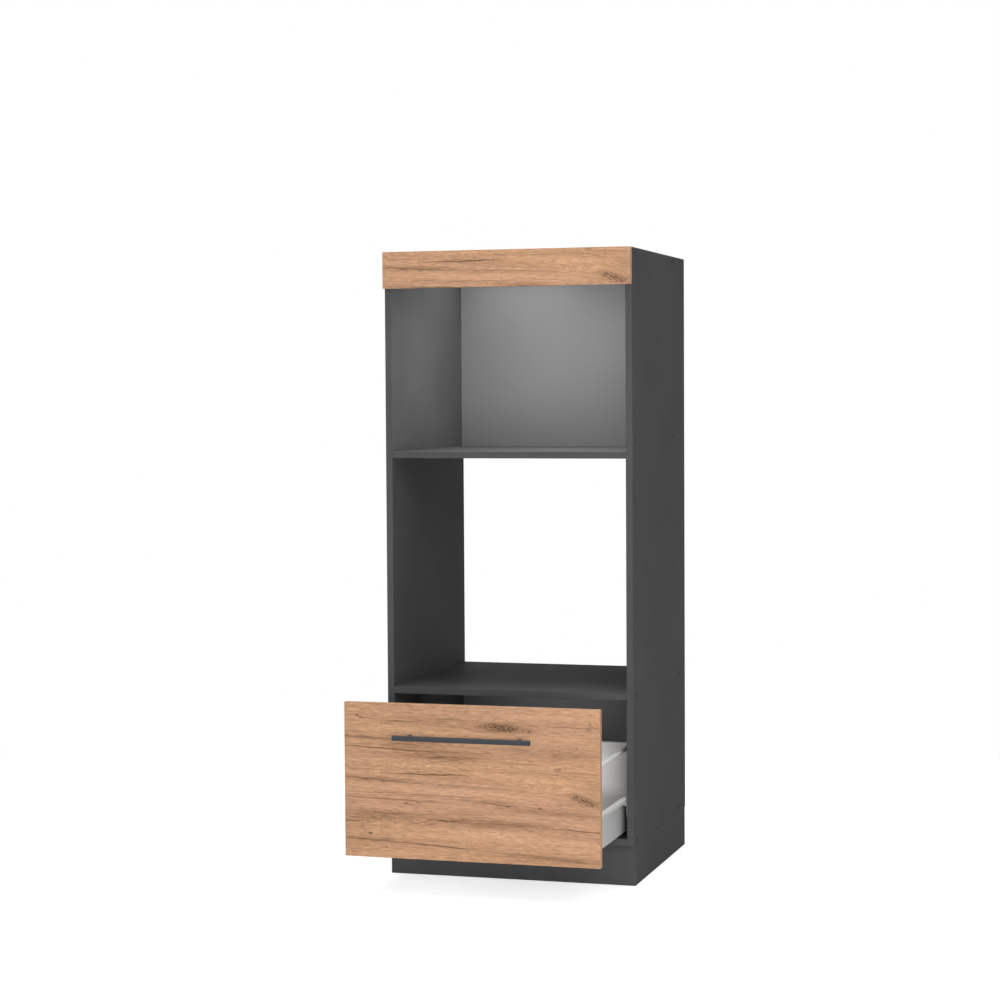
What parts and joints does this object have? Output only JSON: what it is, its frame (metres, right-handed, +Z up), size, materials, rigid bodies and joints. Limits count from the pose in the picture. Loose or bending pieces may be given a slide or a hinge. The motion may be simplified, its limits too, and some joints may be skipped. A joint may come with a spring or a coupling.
{
  "type": "oven housing cabinet",
  "caption": "Tall kitchen cabinet in dark board: open upper niche, oven niche open to the rear, and a wide pull-out drawer with an oak-decor front and a bar handle.",
  "frame": {"origin": "on the floor under the middle of the plinth's front board", "axes": "+X to the right and +Y to the rear as seen from the front, +Z up; the drawer opens along -Y"},
  "size_m": [0.602, 0.899, 1.48],
  "materials": {
    "graphite_board": "matt graphite laminate on chipboard, edge banded",
    "oak_board": "oak-decor laminate on chipboard, matt, with grain and knots",
    "grey_hardboard": "grey lacquered hardboard, raw brown at the rear",
    "light_grey_board": "light grey laminate on chipboard",
    "grey_steel": "light grey powder coat on bent sheet steel",
    "white_rail": "off-white enamel on steel tube",
    "nylon": "white nylon",
    "grey_plastic": "moulded grey plastic",
    "dark_cap": "dark moulded plastic",
    "zinc_steel": "zinc plated",
    "dark_handle": "dark blue-grey satin lacquer",
    "beech": "fluted beech"
  },
  "bodies": {
    "carcass": {"side_panel_left": "graphite_board", "side_panel_right": "graphite_board", "bottom_panel": "graphite_board", "oven_shelf": "graphite_board", "upper_shelf": "graphite_board", "top_panel": "graphite_board", "plinth_front": "graphite_board", "plinth_side_left": "graphite_board", "plinth_side_right": "graphite_board", "plinth_rear": "graphite_board", "top_fascia": "oak_board", "upper_back_panel": "grey_hardboard", "lower_back_panel": "grey_hardboard", "runner_left": "grey_steel", "runner_right": "grey_steel", "screw_caps": "dark_cap", "fascia_brackets": "zinc_steel", "plinth_brackets": "zinc_steel", "wall_brackets": "zinc_steel", "bracket_screws": "zinc_steel", "back_panel_screws": "zinc_steel", "carcass_screws": "zinc_steel", "shelf_cam_locks": "zinc_steel", "shelf_cam_bolts": "zinc_steel", "runner_screws": "zinc_steel", "front_roller_axles": "zinc_steel", "carcass_dowels": "beech", "plinth_dowels": "beech"},
    "drawer": {"drawer_front": "oak_board", "handle_bar": "dark_handle", "handle_posts": "dark_handle", "handle_screws": "zinc_steel", "drawer_side_left": "grey_steel", "drawer_side_right": "grey_steel", "drawer_bottom": "light_grey_board", "drawer_back": "light_grey_board", "drawer_screws": "zinc_steel", "front_bracket_left": "grey_steel", "front_bracket_right": "grey_steel", "front_bracket_screws": "zinc_steel", "front_bracket_rivets": "zinc_steel", "gallery_rail_left": "white_rail", "gallery_rail_right": "white_rail", "rail_sockets": "grey_plastic", "rear_roller_axles": "zinc_steel", "front_bumpers": "grey_plastic"},
    "front_roller_left": {"front_roller_left": "nylon"},
    "front_roller_right": {"front_roller_right": "nylon"},
    "rear_roller_left": {"rear_roller_left": "nylon"},
    "rear_roller_right": {"rear_roller_right": "nylon"}
  },
  "joints": [
    {"name": "drawer_slide", "type": "slide", "parent": "carcass", "child": "drawer", "axis": [0, -1, 0], "range_m": [-0.285, 0.065]},
    {"name": "front_roller_left_turn", "type": "hinge", "parent": "carcass", "child": "front_roller_left", "pos_m": [-0.2744, 0.006, 0.1935], "axis": [1, 0, 0], "continuous": true},
    {"name": "front_roller_right_turn", "type": "hinge", "parent": "carcass", "child": "front_roller_right", "pos_m": [0.2744, 0.006, 0.1935], "axis": [1, 0, 0], "continuous": true},
    {"name": "rear_roller_left_turn", "type": "hinge", "parent": "drawer", "child": "rear_roller_left", "pos_m": [-0.2744, 0.124, 0.1758], "axis": [1, 0, 0], "continuous": true},
    {"name": "rear_roller_right_turn", "type": "hinge", "parent": "drawer", "child": "rear_roller_right", "pos_m": [0.2744, 0.124, 0.1758], "axis": [1, 0, 0], "continuous": true}
  ],
  "couplings": [
    {"joint": "front_roller_left_turn", "follows": "drawer_slide", "rad_per_m": 100},
    {"joint": "front_roller_right_turn", "follows": "drawer_slide", "rad_per_m": 100},
    {"joint": "rear_roller_left_turn", "follows": "drawer_slide", "rad_per_m": 111.11},
    {"joint": "rear_roller_right_turn", "follows": "drawer_slide", "rad_per_m": 111.11}
  ]
}
